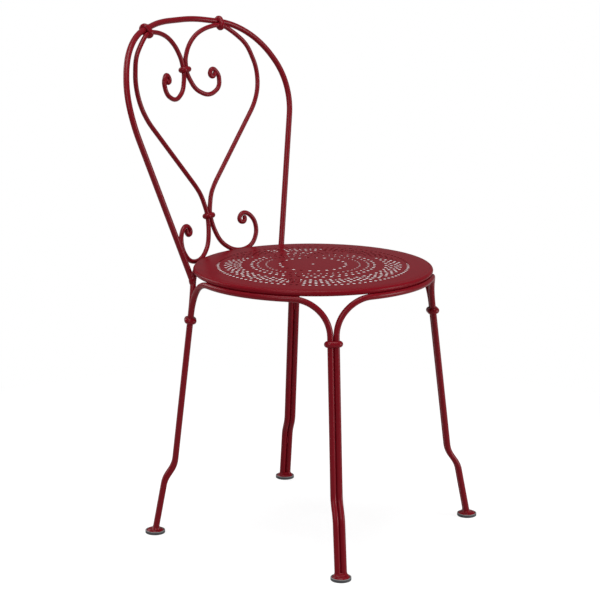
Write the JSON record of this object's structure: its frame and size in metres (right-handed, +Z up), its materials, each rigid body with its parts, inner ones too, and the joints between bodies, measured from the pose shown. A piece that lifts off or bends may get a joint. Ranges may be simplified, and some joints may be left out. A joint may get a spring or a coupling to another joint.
{
  "type": "bistro chair",
  "caption": "Round-seated garden bistro chair of bent steel rod, with a perforated domed seat and a bowed hoop back that holds a heart of scrollwork.",
  "frame": {"origin": "on the floor, under the middle of the chair's outside box", "axes": "+Z up, -Y is the way the sitter faces, +X is the sitter's left"},
  "size_m": [0.4608, 0.5168, 0.8819],
  "materials": {
    "red_coat": "dark red powder coat, satin with a soft sheen",
    "glide": "dark grey, matt"
  },
  "bodies": {
    "root": {"back_hoop": "red_coat", "foot_plate_front_left": "red_coat", "foot_plate_front_right": "red_coat", "foot_plate_rear_left": "red_coat", "foot_plate_rear_right": "red_coat", "front_arch": "red_coat", "glide_front_left": "glide", "glide_front_right": "glide", "glide_rear_left": "glide", "glide_rear_right": "glide", "heart_rod_left": "red_coat", "heart_rod_right": "red_coat", "hoop_collar_left": "red_coat", "hoop_collar_right": "red_coat", "left_arch": "red_coat", "leg_collar_front_left": "red_coat", "leg_collar_front_right": "red_coat", "leg_collar_rear_left": "red_coat", "leg_collar_rear_right": "red_coat", "lower_knot_collar": "red_coat", "lower_weld_front_left": "red_coat", "lower_weld_front_right": "red_coat", "lower_weld_rear_left": "red_coat", "lower_weld_rear_right": "red_coat", "rear_arch": "red_coat", "right_arch": "red_coat", "seat": "red_coat", "upper_knot_collar": "red_coat", "upper_weld_front_left": "red_coat", "upper_weld_front_right": "red_coat", "upper_weld_rear_left": "red_coat", "upper_weld_rear_right": "red_coat"}
  },
  "joints": []
}
